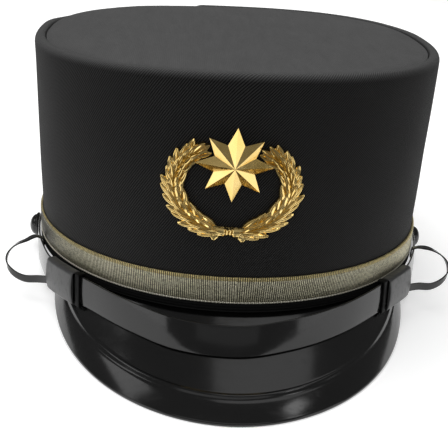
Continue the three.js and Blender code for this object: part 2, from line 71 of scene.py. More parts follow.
# degrees from the front, out from the hem (left, right), height (left, right), lean
STRAP_ROUTE = (
    (0, 14.2, 14.2, -6.0, -6.0, 8),
    (12, 12.1, 13.1, -4.8, -5.5, 7),
    (24, 9.2, 9.7, -3.4, -3.7, 3),
    (36, 6.6, 7.0, -1.8, -2.1, 0),
    (46, 5.3, 6.3, -0.8, -1.8, 0),
    (56, 4.8, 5.5, -1.5, -2.4, 0),
    (66, 3.6, 3.7, -2.0, -2.6, 0),
    (78, 3.1, 2.6, -2.1, -2.3, 0),
    (90, 3.3, 2.4, -1.9, -1.9, 0),
    (97, 3.3, 2.4, -1.7, -1.7, 0),
)
SLIDE = (43.2, 55.8)
KEEPER = (41.2, 42.7)
SLEEVE_WALL = 0.6
SLEEVE_CLEAR = 0.3

CHIN_WIDTH = 3.3
CHIN_THICKNESS = 0.6
CHIN_BEHIND = 1.1
CHIN_IN_SLIDE = -3.7
CHIN_IN_FRONT = 2.4
CHIN_LEFT_RISE = 0.9
CHIN_CROSS = (47.8, 51.2)
# x, y, z and how far the width has turned
CHIN_LOOP = (
    (80.4, -55.9, -6.6, 0),
    (86.4, -53.3, -7.5, 6),
    (91.2, -50.9, -6.2, 14),
    (94.0, -49.1, -3.6, 30),
    (94.7, -47.4, -0.7, 55),
    (93.6, -45.6, 2.0, 75),
    (90.9, -43.4, 4.2, 86),
    (87.4, -41.0, 5.2, 90),
)
CHIN_TUCK = ((2.2, 1.5), (0.3, 0.9), (-0.8, 0.5), (-1.1, -0.8), (-1.1, -3.2))
CHIN_TUCK_ANGLE = 70

PEAK_CORNER = 68
PEAK_REACH = 38.6
PEAK_DROP = 26.5
PEAK_ROOT_DROP = 1.3
PEAK_ROUNDNESS = 1.78
PEAK_FULLNESS = 3.9
PEAK_THICKNESS = 2.0
PEAK_BLUNT = 0.992


def mix(a, b, t):
    return a + (b - a) * t


def clamp(value, low=0.0, high=1.0):
    return max(low, min(high, value))


def smoothstep(value, low, high):
    t = clamp((value - low) / (high - low))
    return t * t * (3 - 2 * t)


def bump_at(value, centre, half_width):
    """A smooth hump, 1 at the centre and 0 beyond the half width."""
    t = abs(value - centre) / half_width
    return 0.5 + 0.5 * math.cos(math.pi * t) if t < 1 else 0.0


def signed_power(value, power):
    return math.copysign(abs(value) ** power, value)


# ---- building meshes ----

SHARP_FROM = math.radians(48)  # edges that turn more than this are drawn sharp


def finish_piece(name, points, faces, corners, material, stands_for, finish):
    """Makes a smooth-shaded piece, in the row frame, that rides on the cap and replaces CAD nodes."""
    mesh = bpy.data.meshes.new(name)
    mesh.from_pydata([REST @ Vector(p) for p in points], [], faces)
    if corners:
        layer = mesh.uv_layers.new(name="Weave")
        layer.data.foreach_set("uv", [value for corner in corners for value in corner])
    mesh.materials.append(material)
    piece = bpy.data.objects.new(name, mesh)
    bpy.context.scene.collection.objects.link(piece)
    work = bmesh.new()
    work.from_mesh(mesh)
    bmesh.ops.recalc_face_normals(work, faces=work.faces)
    work.to_mesh(mesh)
    work.free()
    mesh.shade_smooth()
    mesh.set_sharp_from_angle(angle=SHARP_FROM)
    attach(piece, "root")
    if stands_for:
        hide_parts(*stands_for)
    return piece


def loft(rings, closed=False, along=None, across=None):
    """Points, faces and weave coordinates of rings of matching points, each ring a closed loop."""
    size = len(rings[0])
    spans = len(rings) if closed else len(rings) - 1
    if along is None:
        along = [0.0]
        for here, after in zip(rings, rings[1:] + rings[:1]):
            along.append(along[-1] + (Vector(after[0]) - Vector(here[0])).length)
    if across is None:
        across = [0.0]
        for here, after in zip(rings[0], rings[0][1:] + rings[0][:1]):
            across.append(across[-1] + (Vector(after) - Vector(here)).length)
    points = [p for ring in rings for p in ring]
    faces = []
    corners = []
    for r in range(spans):
        here = r * size
        after = (r + 1) % len(rings) * size
        for i in range(size):
            j = (i + 1) % size
            faces.append((here + i, here + j, after + j, after + i))
            for u, v in ((r, i), (r, i + 1), (r + 1, i + 1), (r + 1, i)):
                corners.append((along[u], across[v]))
    if not closed:
        for start, u in ((0, 0), ((len(rings) - 1) * size, len(rings) - 1)):
            faces.append(tuple(start + i for i in range(size)))
            corners.extend((along[u], across[i]) for i in range(size))
    return points, faces, corners


def join(parts):
    """One list of points, faces and corners from several."""
    points = []
    faces = []
    corners = []
    for more_points, more_faces, more_corners in parts:
        start = len(points)
        points.extend(more_points)
        faces.extend(tuple(start + i for i in face) for face in more_faces)
        corners.extend(more_corners)
    return points, faces, corners


def rounded_outline(low_n, high_n, low_w, high_w, radius, steps=3, crown=0.0):
    """(n, w) corners of a rectangle with round corners; crown swells its outer face."""
    outline = []
    centres = (
        (high_n - radius, low_w + radius, -90),
        (high_n - radius, high_w - radius, 0),
        (low_n + radius, high_w - radius, 90),
        (low_n + radius, low_w + radius, 180),
    )
    for k, (n, w, start) in enumerate(centres):
        for i in range(steps + 1):
            a = math.radians(start + 90 * i / steps)
            outline.append((n + radius * math.cos(a), w + radius * math.sin(a)))
        if k == 0:
            span = high_w - low_w - 2 * radius
            for i in range(1, 6):
                t = i / 6
                outline.append((high_n + crown * 4 * t * (1 - t), low_w + radius + span * t))
    return outline


# ---- the crown ----

CLOTH_FOOT = 0.4  # where the wall's outer face starts, above the hem
SHOULDER_DROP = 1.4  # the turn over the rim starts this far below its fall
SHOULDER_RISE = 1.3
SWELL_DEPTH = 0.3  # of the cloth over its stiffening, and the size of one swell
SWELL_SIZE = 26
LAP_HEIGHT = 0.5  # one edge of the cloth stands over the other at the seam
SEAM_CLEARANCE = 2.6  # degrees that the even stations keep from the seam


def crown_point(deg, height, out):
    share = height / CROWN_HEIGHT
    power = 2 / mix(*SQUARENESS, share)
    s = math.sin(math.radians(deg))
    c = math.cos(math.radians(deg))
    half_width = mix(BASE_HALF[0], TOP_HALF[0], share) + out
    half_length = mix(BASE_HALF[1], TOP_HALF[1], share) + out
    return Vector((
        half_width * signed_power(s, power),
        -half_length * signed_power(c, power) - TOP_FORWARD * share,
        height - rim_sag(s, c) * max(share, 0) ** 4,
    ))


def rim_sag(s, c):
    """How far the rim hangs at the back; it steps down beyond the seam."""
    beyond = smoothstep(SEAM_X - TOP_HALF[0] * s, -3.0, 3.0)
    return mix(SAG, SAG_BEYOND_SEAM, beyond) * smoothstep(-c, 0, 0.45)


SEAM_DEG = 180 + math.degrees(math.asin(-SEAM_X / TOP_HALF[0]))
SEAM_STEPS = (-2.4, -1.6, -1.1, -0.8, -0.55, -0.35, -0.2, 0.0, 0.2, 0.35, 0.55, 0.8, 1.1, 1.6, 2.4)


def round_degrees(count, with_seam=False):
    """Angles round the crown, closer together at the seam in the back."""
    degrees = [360 * i / count for i in range(count)]
    if with_seam:
        degrees = [d for d in degrees if abs(d - SEAM_DEG) > SEAM_CLEARANCE]
        degrees = sorted(degrees + [SEAM_DEG + step for step in SEAM_STEPS])
    return degrees


def unevenness(point, size, depth):
    """A slow random swell, so that cloth over its stiffening isn't perfectly even."""
    return depth * noise.noise(Vector(point) / size)


def around(degrees, height=0.0):
    """Distance round the crown at each angle, closed with the whole way round."""
    spots = [crown_point(d, height, 0) for d in degrees]
    along = [0.0]
    for here, after in zip(spots, spots[1:] + spots[:1]):
        along.append(along[-1] + (after - here).length)
    return along


def build_crown_side(material):
    """The cloth wall, its turned rim and its inner face, with the weave starting at the seam."""
    top = CROWN_HEIGHT
    shoulder = top - RIM_FALL - SHOULDER_DROP
    section = [(CLOTH_FOOT, 0.0)]
    section += [(mix(CLOTH_FOOT, shoulder, i / 22), 0.0) for i in range(1, 23)]
    for i in range(1, 8):
        a = math.radians(90 * i / 8)
        height = shoulder + (RIM_FALL + SHOULDER_RISE) * math.sin(a)
        section.append((height, -RIM_FALL * (1 - math.cos(a))))
    section += [
        (top, -RIM_FALL - 0.5),
        (top, -RIM_WIDTH + 1.3),
        (top - 0.15, -RIM_WIDTH + 0.6),
        (top - 0.6, -RIM_WIDTH + 0.12),
        (top - 1.3, -RIM_WIDTH),
        (top - RIM_DEPTH, -RIM_WIDTH),
        (top - RIM_DEPTH - 2.2, -WALL),
        (top * 0.66, -WALL),
        (top * 0.33, -WALL),
        (CLOTH_FOOT, -WALL),
        (0.0, -WALL + 0.5),
        (0.0, -0.5),
    ]
    degrees = round_degrees(264, with_seam=True)
    first = degrees.index(SEAM_DEG)
    degrees = degrees[first:] + [d + 360 for d in degrees[:first]]
    rings = []
    for deg in degrees:
        ring = []
        lap = smoothstep(-deg, -SEAM_DEG - 1.5, -SEAM_DEG - 0.6)
        for height, out in section:
            outer = out > -RIM_FALL - 0.01 and 0 < height
            swell = 0.0
            if outer:
                free = smoothstep(height, 12, 24) * smoothstep(-height, -89, -82)
                uneven = unevenness(crown_point(deg, height, 0), SWELL_SIZE, SWELL_DEPTH)
                swell = free * uneven + LAP_HEIGHT * lap
            ring.append(crown_point(deg, height, out + swell))
        rings.append(ring)
    across = [0.0]
    for (h0, o0), (h1, o1) in zip(section, section[1:] + section[:1]):
        across.append(across[-1] + math.hypot(h1 - h0, o1 - o0))
    shape = loft(rings, closed=True, along=around(degrees, 46), across=across)
    return finish_piece("crown_cloth", *shape, material, ["crown_side"], "twill")


def build_crown_top(material):
    """The flat lid cloth: glued on its board, so only a faint swell, dipping where it meets the rim."""
    count = 180
    upper = CROWN_HEIGHT - LID_SINK
    lower = upper - TOP_THICKNESS
    middle = (upper + lower) / 2
    edge = [crown_point(360 * i / count, middle, -RIM_WIDTH - TOP_CLEARANCE) for i in range(count)]
    centre = Vector((0, -TOP_FORWARD * middle / CROWN_HEIGHT, 0))
    shares = (1.0, 0.995, 0.985, 0.97, 0.94, 0.88, 0.8, 0.7, 0.6, 0.5, 0.4, 0.3, 0.2, 0.1, 0.04)
    points = []
    for share in shares:
        for p in edge:
            x = centre.x + (p.x - centre.x) * share
            y = centre.y + (p.y - centre.y) * share
            dip = 0.5 * smoothstep(share, 0.97, 1.0)
            pucker = 0.12 * noise.noise(Vector((x, y, 5)) / 9) * smoothstep(share, 0.75, 0.98)
            swell = 0.22 * noise.noise(Vector((x, y, 0)) / 30)
            points.append((x, y, upper - dip + (swell + pucker) * smoothstep(-share, -1, -0.96)))
    faces = []
    for r in range(len(shares) - 1):
        for i in range(count):
            j = (i + 1) % count
            faces.append((r * count + i, r * count + j, (r + 1) * count + j, (r + 1) * count + i))
    last = (len(shares) - 1) * count
    points.append((centre.x, centre.y, upper))
    faces += [(last + i, last + (i + 1) % count, len(points) - 1) for i in range(count)]
    skirt = len(points)
    points += [(p.x, p.y, lower) for p in edge]
    points.append((centre.x, centre.y, lower))
    for i in range(count):
        j = (i + 1) % count
        faces.append((j, i, skirt + i, skirt + j))
        faces.append((skirt + j, skirt + i, len(points) - 1))
    corners = [(points[i][0], points[i][1]) for face in faces for i in face]
    return finish_piece("crown_lid", points, faces, corners, material, ["crown_top"], "top_cloth")


# ---- the braid, its cord and the hem ----

RIB_PITCH = 0.88
RIB_RELIEF = 0.11
COLUMNS_A_RIB = 4


def build_braid(material):
    """A woven band with fine upright ribs, and a firmer edge along its top."""
    whole = around(round_degrees(720), 9)
    ribs = round(whole[-1] / RIB_PITCH)
    columns = ribs * COLUMNS_A_RIB
    degrees = [360 * i / columns for i in range(columns)]
    along = [whole[-1] * i / columns for i in range(columns + 1)]
    rows = (
        # height, how far out and the share of the ribs' relief
        (4.5, GAP, 0.0),
        (4.5, 0.75, 0.0),
        (4.75, 1.0, 0.5),
        (7.0, 1.08, 1.0),
        (9.6, 1.08, 1.0),
        (12.8, 1.06, 1.0),
        (13.0, 0.94, 0.4),
        (13.3, 1.06, 0.8),
        (14.1, 1.02, 0.8),
        (14.4, 0.75, 0.2),
        (14.4, GAP, 0.0),
    )
    phase = [math.cos(math.tau * i / COLUMNS_A_RIB) for i in range(COLUMNS_A_RIB)]
    rings = [
        [
            crown_point(deg, height, out + RIB_RELIEF * rib * phase[n % COLUMNS_A_RIB])
            for height, out, rib in rows
        ]
        for n, deg in enumerate(degrees)
    ]
    across = [row[0] for row in rows] + [rows[0][0]]
    shape = loft(rings, closed=True, along=along, across=across)
    return finish_piece("braid", *shape, material, ["braid_band"], "gold_braid")


def build_edge_cord(material):
    """The pale two-ply cord along the braid's lower edge."""
    count = 2200
    lay = 1.5
    whole = around(round_degrees(720), 4)[-1]
    rings = []
    for n in range(count):
        deg = 360 * n / count
        twist = math.tau * round(whole / lay) * n / count
        ring = []
        for i in range(8):
            a = math.tau * i / 8
            radius = 0.34 + 0.09 * math.cos(2 * (a - twist / 2))
            ring.append(crown_point(deg, 4.12 + radius * math.sin(a), 1.05 + radius * math.cos(a)))
        rings.append(ring)
    shape = loft(rings, closed=True)
    return finish_piece("braid_edge_cord", *shape, material, None, "gold_braid")


def build_hem(material):
    """The dark bound hem, folded twice, so that it shows two soft pleats."""
    section = [(0.1, GAP), (0.1, 0.8), (0.35, 1.2)]
    section += [(mix(0.5, 3.3, i / 14), 1.22 + 0.16 * math.cos(math.tau * 2.5 * i / 14)) for i in range(15)]
    section += [(3.55, 1.0), (3.7, 0.7), (3.7, GAP)]
    degrees = round_degrees(300)
    rings = [[crown_point(deg, height, out) for height, out in section] for deg in degrees]
    across = [height for height, _ in section] + [section[0][0]]
    shape = loft(rings, closed=True, along=around(degrees), across=across)
    return finish_piece("hem_binding", *shape, material, ["bottom_binding"], "hem_cloth")


# ---- the peak ----

RIDGE_INSET = 10.7  # of the moulded line inside the peak's edge
RIDGE_HEIGHT = 0.3
ROOT_FLARE = 1.35  # how far the upper face sweeps up into the hem, and over what length
ROOT_FLARE_LENGTH = 22.0
RIDGE_HALF = 1.15
GROOVE_DEPTH = 0.16  # the groove inside that line, how far from it, and half its width
GROOVE_ASIDE = 1.7
GROOVE_HALF = 0.9
BRIM_LIFT = 0.9  # the upper face swells this much up to that line, over this length
BRIM_LIFT_LENGTH = 34
BRIM_BEND = 1.9  # how far the margin outside the line bends down
BRIM_BEND_POWER = 1.6


def peak_normal(deg):
    """Square to the peak's face where it hangs from the crown at an angle."""
    along = crown_point(deg + 0.5, 0, 0) - crown_point(deg - 0.5, 0, 0)
    slope = Vector((0, -PEAK_REACH, -PEAK_DROP))
    upward = slope.cross(along).normalized()
    return upward if upward.z > 0 else -upward


def peak_reach(u):
    """The share of its full reach that the peak has at u, which runs from -1 to 1 across it."""
    return (1 - abs(u) ** PEAK_ROUNDNESS) ** (1 / PEAK_FULLNESS)


def build_peak(material):
    """The peak: an upper face with its moulding, a round edge and a plain lower face."""
    stations = 401
    rows = 104
    slope = Vector((0, -PEAK_REACH, -PEAK_DROP))
    us = [PEAK_BLUNT * math.sin(math.radians(mix(-90, 90, i / (stations - 1)))) for i in range(stations)]
    roots = [crown_point(u * PEAK_CORNER, 0, -WALL) - UP * PEAK_ROOT_DROP for u in us]
    edges = [root + slope * peak_reach(u) for root, u in zip(roots, us)]
    normals = [peak_normal(u * PEAK_CORNER) for u in us]
    edge_array = np.array([tuple(e) for e in edges])
    starts = edge_array[:-1]
    spans = edge_array[1:] - starts
    squares = (spans ** 2).sum(axis=1)
    half = PEAK_THICKNESS / 2

    def inside_edge(point):
        """Distance from a point on the peak to its edge."""
        offset = np.array(tuple(point)) - starts
        t = np.clip((offset * spans).sum(axis=1) / squares, 0, 1)
        return float(np.sqrt(((offset - spans * t[:, None]) ** 2).sum(axis=1).min()))

    def bend(distance):
        """How far the margin has bent down at a distance from the edge."""
        return BRIM_BEND * clamp((RIDGE_INSET - distance) / RIDGE_INSET) ** BRIM_BEND_POWER

    def moulded(distance):
        """How the moulding lifts the upper face: a raised line, and a margin that bends down."""
        line = RIDGE_HEIGHT * bump_at(distance, RIDGE_INSET, RIDGE_HALF)
        groove = -GROOVE_DEPTH * bump_at(distance, RIDGE_INSET - GROOVE_ASIDE, GROOVE_HALF)
        return line + groove - bend(distance)

    def lifted(run):
        """How far the whole peak swells up at a distance from its root."""
        return BRIM_LIFT * smoothstep(run, 0, BRIM_LIFT_LENGTH)

    rings = []
    for n, (root, edge, normal) in enumerate(zip(roots, edges, normals)):
        before = edges[max(n - 1, 0)]
        after = edges[min(n + 1, stations - 1)]
        outward = normal.cross(after - before).normalized()
        if outward.dot(edge - Vector((0, 0, edge.z))) < 0:
            outward = -outward
        inset = edge - outward * half
        ring = []
        for i in range(rows):
            share = i / (rows - 1)
            p = root.lerp(inset, share)
            flare = ROOT_FLARE * (1 - clamp((p - root).length / ROOT_FLARE_LENGTH)) ** 2
            ring.append(p + normal * (moulded(inside_edge(p)) + flare + lifted((p - root).length)))
        fall = normal * (moulded(half) + lifted((inset - root).length))
        for k in range(1, 8):
            a = math.pi * k / 8
            ring.append(inset + fall - normal * half * (1 - math.cos(a)) + outward * half * math.sin(a))
        for i in range(13):
            share = 1 - i / 12
            p = root.lerp(inset, share)
            lift = lifted((p - root).length)
            ring.append(p + normal * (lift - PEAK_THICKNESS - bend(inside_edge(p))))
        rings.append(ring)
    shape = loft(rings)
    return finish_piece("patent_peak", *shape, material, ["peak"], "peak_patent")


# ---- the strap and what rides on it ----

STRAP_CROWN = 0.22  # how far its outer face swells between its edges
STRAP_WAVE = 0.12
SLEEVE_LIP = 0.12  # degrees over which each mouth of a sleeve is rounded


def smooth_row(column, at):
    """A smooth value from STRAP_ROUTE, mirrored about its first row."""
    rows = STRAP_ROUTE
    last = len(rows) - 1
    x = min(abs(at), rows[last][0])
    i = min(last - 1, next(n for n in range(last) if x <= rows[n + 1][0]))

    def value(n):
        return rows[-n][column] if n < 0 else rows[min(n, last)][column]

    def place(n):
        return -rows[-n][0] if n < 0 else rows[min(n, last)][0]

    def slope(n):
        return 0 if n >= last else (value(n + 1) - value(n - 1)) / (place(n + 1) - place(n - 1))

    span = place(i + 1) - place(i)
    t = (x - place(i)) / span
    return (
        (2 * t ** 3 - 3 * t ** 2 + 1) * value(i)
        + (t ** 3 - 2 * t ** 2 + t) * span * slope(i)
        + (-2 * t ** 3 + 3 * t ** 2) * value(i + 1)
        + (t ** 3 - t ** 2) * span * slope(i + 1)
    )


def square_to(deg):
    s = math.sin(math.radians(deg))
    c = math.cos(math.radians(deg))
    return Vector((s / BASE_HALF[0], -c / BASE_HALF[1], 0)).normalized()


def strap_frame(deg):
    """The strap's middle, its outward side and its upper edge's way at an angle."""
    left = deg > 0
    out = smooth_row(1 if left else 2, deg)
    height = smooth_row(3 if left else 4, deg)
    lean = math.radians(smooth_row(5, deg))
    s = math.sin(math.radians(deg))
    c = math.cos(math.radians(deg))
    square = square_to(deg)
    middle = Vector((BASE_HALF[0] * s, -BASE_HALF[1] * c, height)) + square * out
    across = UP * math.cos(lean) - square * math.sin(lean)
    outside = square * math.cos(lean) + UP * math.sin(lean)
    return middle, outside, across


def on_strap(deg, outside_by, across_by):
    middle, outside, across = strap_frame(deg)
    return middle + outside * outside_by + across * across_by


def build_front_strap(material):
    stations = 301
    half = STRAP_WIDTH / 2
    skin = STRAP_THICKNESS / 2
    face = skin - STRAP_CROWN
    outline = rounded_outline(-skin, face, -half, half, 0.3, steps=4, crown=STRAP_CROWN)
    rings = []
    for n in range(stations):
        deg = mix(-STRAP_END, STRAP_END, n / (stations - 1))
        from_end = min(1.0, (STRAP_END - abs(deg)) / 3)
        reach = math.sqrt(1 - 0.75 * (1 - from_end) ** 2)
        wave = STRAP_WAVE * noise.noise(Vector((deg / 9, 3, 0)))
        rings.append([on_strap(deg, outside + wave, across * reach) for outside, across in outline])
    shape = loft(rings)
    return finish_piece("strap_front", *shape, material, ["front_strap"], "strap_vinyl")


def build_sleeve(name, side, span, chin_outside, material, stands_for, finish, radius, crown):
    inner = -(STRAP_THICKNESS / 2 + CHIN_THICKNESS + 2 * SLEEVE_CLEAR)
    outer = -inner if chin_outside else STRAP_THICKNESS / 2 + SLEEVE_CLEAR
    half = STRAP_WIDTH / 2 + SLEEVE_CLEAR
    wall = SLEEVE_WALL
    outside = rounded_outline(inner - wall, outer + wall, -half - wall, half + wall, radius, 5, crown)
    bore = rounded_outline(inner, outer, -half, half, 0.25, 5)
    start, end = span
    count = max(8, round((end - start) * 2))
    outer_run = [(start, 0.3), (start + SLEEVE_LIP, 0.08)]
    outer_run += [(mix(start, end, t / count), 0.0) for t in range(1, count)]
    outer_run += [(end - SLEEVE_LIP, 0.08), (end, 0.3)]
    outer_run.sort()
    rings = []
    for deg, draw_in in outer_run:
        rings.append([
            on_strap(side * deg, mix(n, (inner + outer) / 2, draw_in * 0.25), w * (1 - draw_in * 0.04))
            for n, w in outside
        ])
    for deg, _ in reversed(outer_run):
        rings.append([on_strap(side * deg, n, w) for n, w in bore])
    shape = loft(rings, closed=True)
    return finish_piece(name, *shape, material, stands_for, finish)


def catmull(stops, at):
    """A centripetal spline through the stops; at runs from 0 to the number of spans."""
    last = len(stops) - 1
    i = min(int(at), last - 1)
    w = at - i
    p1, p2 = stops[i], stops[i + 1]
    p0 = stops[i - 1] if i > 0 else 2 * p1 - p2
    p3 = stops[i + 2] if i + 2 <= last else 2 * p2 - p1
    d0, d1, d2 = (max((b - a).length, 1e-4) ** 0.5 for a, b in ((p0, p1), (p1, p2), (p2, p3)))
    t1 = ((p1 - p0) / d0 - (p2 - p0) / (d0 + d1) + (p2 - p1) / d1) * d1
    t2 = ((p2 - p1) / d1 - (p3 - p1) / (d1 + d2) + (p3 - p2) / d2) * d1
    return (
        p1
        + t1 * w
        + (3 * (p2 - p1) - 2 * t1 - t2) * w * w
        + (2 * (p1 - p2) + t1 + t2) * w ** 3
    )


def build_chin_strap(material):
    def turned(turn):
        return Vector((0, -math.sin(math.radians(turn)), math.cos(math.radians(turn))))

    def hidden(deg):
        across = mix(CHIN_IN_FRONT, CHIN_IN_SLIDE, smoothstep(abs(deg), 26, SLIDE[0] - 3))
        through = clamp((abs(deg) - CHIN_CROSS[0]) / (CHIN_CROSS[1] - CHIN_CROSS[0]))
        return on_strap(deg, CHIN_BEHIND * (2 * through - 1), across), strap_frame(deg)[2]

    def side_run(side):
        rise = side * CHIN_LEFT_RISE
        run = [(Vector((side * x, y, z + rise)), turned(turn)) for x, y, z, turn in CHIN_LOOP]
        facing = square_to(side * CHIN_TUCK_ANGLE).cross(UP) * side
        for outside, above in CHIN_TUCK:
            run.append((on_strap(side * CHIN_TUCK_ANGLE, outside, STRAP_WIDTH / 2 + above), facing))
        return run

    far = SLIDE[1] + 0.4
    middle = [hidden(mix(-far, far, i / 56)) for i in range(57)]
    stops = side_run(-1)[::-1] + middle + side_run(1)
    places = [stop[0] for stop in stops]
    last = len(stops) - 1
    loop_spans = len(CHIN_LOOP) + len(CHIN_TUCK)
    outline = rounded_outline(
        -CHIN_THICKNESS / 2, CHIN_THICKNESS / 2, -CHIN_WIDTH / 2, CHIN_WIDTH / 2, 0.22, steps=3
    )
    step = 0.02
    rings = []
    for n in range(last + 1):
        curved = n < loop_spans or n >= last - loop_spans
        for k in range(6 if n < last and curved else 1):
            at = n + k / 6
            centre = catmull(places, at)
            before = catmull(places, max(at - step, 0))
            along = (catmull(places, min(at + step, last)) - before).normalized()
            across = stops[n][1].lerp(stops[min(n + 1, last)][1], k / 6)
            across = (across - along * across.dot(along)).normalized()
            outside = along.cross(across)
            rings.append([centre + outside * o + across * w for o, w in outline])
    shape = loft(rings)
    return finish_piece("strap_chin", *shape, material, ["chin_strap"], "strap_vinyl")


# ---- the buttons ----

BUTTON_ANGLE = 90
BUTTON_RADIUS = 5.6
BUTTON_RIM = 1.3
BUTTON_DOME = 3.2
SHANK_RADIUS = 1.7


def build_button(name, side, material, stands_for):
    """A domed button with a turned rim, and its shank through the strap."""
    middle, outside, across = strap_frame(side * BUTTON_ANGLE)
    third = outside.cross(across)
    base = STRAP_THICKNESS / 2 + GAP
    cloth = crown_point(side * BUTTON_ANGLE, 0, 1.1 + GAP)
    foot = abs(cloth.x) + GAP - abs(middle.x)
    top = base + BUTTON_RIM
    profile = [(0.0, foot), (SHANK_RADIUS, foot), (SHANK_RADIUS, base)]
    profile += [
        (BUTTON_RADIUS - 0.6, base),
        (BUTTON_RADIUS - 0.2, base + 0.12),
        (BUTTON_RADIUS, base + 0.45),
        (BUTTON_RADIUS, base + 0.9),
        (BUTTON_RADIUS - 0.15, top),
        (BUTTON_RADIUS - 0.45, top + 0.12),
        (BUTTON_RADIUS - 0.7, top),
    ]
    for i in range(1, 13):
        a = math.radians(90 * i / 12)
        profile.append(((BUTTON_RADIUS - 0.75) * math.cos(a), top + BUTTON_DOME * math.sin(a)))
    count = 56
    points = []
    for radius, out in profile[1:-1]:
        for i in range(count):
            a = math.tau * i / count
            centre = middle + outside * out
            points.append(centre + third * radius * math.cos(a) + across * radius * math.sin(a))
    faces = []
    for r in range(len(profile) - 3):
        for i in range(count):
            j = (i + 1) % count
            faces.append((r * count + i, r * count + j, (r + 1) * count + j, (r + 1) * count + i))
    points.append(middle + outside * foot)
    points.append(middle + outside * (top + BUTTON_DOME))
    last = (len(profile) - 3) * count
    for i in range(count):
        j = (i + 1) % count
        faces.append((j, i, len(points) - 2))
        faces.append((last + i, last + j, len(points) - 1))
    return finish_piece(name, points, faces, None, material, stands_for, "button_plastic")


# ---- the badge: a laurel wreath and an eight-pointed star ----

BADGE_X = -3.5
BADGE_HEIGHT = 50.5
BADGE_TURN = math.radians(-2)
BADGE_OFF = 0.45
WREATH_HALF = (20.6, 17.2)
WREATH_OPENING = 38
STAR_HEIGHT = 8.9
STAR_LONG = 13.9
STAR_SHORT = 13.5
STAR_WAIST = 7.8
STAR_RELIEF = 5.0
STAR_OFF = 1.4  # its back stands this far off the wreath's back
LEAF_ROWS = 13
BADGE_SHARP_FROM = math.radians(24)


def on_crown(x, off, z):
    """A point of the flat badge bent onto the crown: x aside, z up, off from the cloth."""
    aside = BADGE_X + x * math.cos(BADGE_TURN) - z * math.sin(BADGE_TURN)
    height = BADGE_HEIGHT + x * math.sin(BADGE_TURN) + z * math.cos(BADGE_TURN)
    share = height / CROWN_HEIGHT
    power = mix(*SQUARENESS, share) / 2
    half_width = mix(BASE_HALF[0], TOP_HALF[0], share)
    deg = math.degrees(math.asin(signed_power(aside / half_width, power)))
    foot = crown_point(deg, height, 0)
    sideways = crown_point(deg + 0.5, height, 0) - crown_point(deg - 0.5, height, 0)
    upward = crown_point(deg, height + 0.5, 0) - crown_point(deg, height - 0.5, 0)
    return foot + sideways.cross(upward).normalized() * off


def grid_shape(columns, rows, at):
    """A closed lens: an upper grid from at(s, t) and a flat back under its outline."""
    points = [at(i / (columns - 1), 2 * j / (rows - 1) - 1) for i in range(columns) for j in range(rows)]
    faces = []
    for i in range(columns - 1):
        for j in range(rows - 1):
            a = i * rows + j
            faces.append((a, a + 1, a + rows + 1, a + rows))
    loop = [i * rows for i in range(columns)]
    loop += [(columns - 1) * rows + j for j in range(1, rows)]
    loop += [i * rows + rows - 1 for i in range(columns - 2, -1, -1)]
    loop += [j for j in range(rows - 2, 0, -1)]
    back = len(points)
    points += [(points[k][0], BADGE_OFF, points[k][2]) for k in loop]
    size = len(loop)
    for k in range(size):
        m = (k + 1) % size
        faces.append((loop[k], loop[m], back + m, back + k))
    faces.append(tuple(back + k for k in range(size)))
    return [on_crown(*p) for p in points], faces, []


def leaf(x, z, angle, length, width, lift, bend):
    """A pointed leaf: raised rim, hollow halves and a midrib, curling up towards its tip."""
    c = math.cos(angle)
    s = math.sin(angle)

    def at(share, t):
        half = width / 2 * max(0.04, math.sin(math.pi * clamp(share, 0.02, 0.985) ** 0.82) ** 0.6)
        curve = bend * share * (1 - share)
        along = (share - 0.12) * length
        across = t * half + curve
        rim = 0.42 * smoothstep(abs(t), 0.45, 0.8) * smoothstep(-abs(t), -1.0, -0.8)
        rib = 0.6 * bump_at(t, 0, 0.36)
        body = 0.75 * (1 - t * t)
        swell = math.sin(math.pi * clamp(share, 0, 1) ** 0.7) ** 0.6
        off = BADGE_OFF + lift + 0.35 + (rim + rib + body) * swell + 0.5 * share
        return x + c * along - s * across, off, z + s * along + c * across

    return grid_shape(13, 13, at)


def stem(side):
    """The branch under the leaves, a rounded rod that follows the wreath."""
    rings = []
    stations = 40
    for n in range(stations):
        t = n / (stations - 1)
        a = math.radians(mix(-99, 92 - WREATH_OPENING, t))
        half = mix(1.7, 0.8, t)
        ring = []
        for i in range(10):
            b = math.tau * i / 10
            grow = half * math.cos(b)
            off = BADGE_OFF + 0.95 + 0.9 * math.sin(b)
            ring.append(on_crown(
                side * (WREATH_HALF[0] + grow) * math.cos(a), off, (WREATH_HALF[1] + grow) * math.sin(a)
            ))
        rings.append(ring)
    points, faces, _ = loft(rings)
    return points, faces, []


def star():
    """Sixteen flat facets that fall from one peak to the points and the waist, on a thin plate."""
    off = BADGE_OFF + STAR_OFF
    rim = []
    for i in range(16):
        a = math.radians(90 - 360 * i / 16)
        radius = STAR_WAIST if i % 2 else STAR_SHORT if i % 4 else STAR_LONG
        rim.append((radius * math.cos(a), STAR_HEIGHT + radius * math.sin(a)))
    points = [(x, off, z) for x, z in rim]
    points += [(x, off + (0.95 if i % 2 == 0 else 0.55), z) for i, (x, z) in enumerate(rim)]
    points.append((0, off, STAR_HEIGHT))
    points.append((0, off + STAR_RELIEF, STAR_HEIGHT))
    faces = []
    for i in range(16):
        j = (i + 1) % 16
        faces.append((i, j, 16 + j, 16 + i))
        faces.append((16 + i, 16 + j, 33))
        faces.append((j, i, 32))
    return [on_crown(*p) for p in points], faces, []


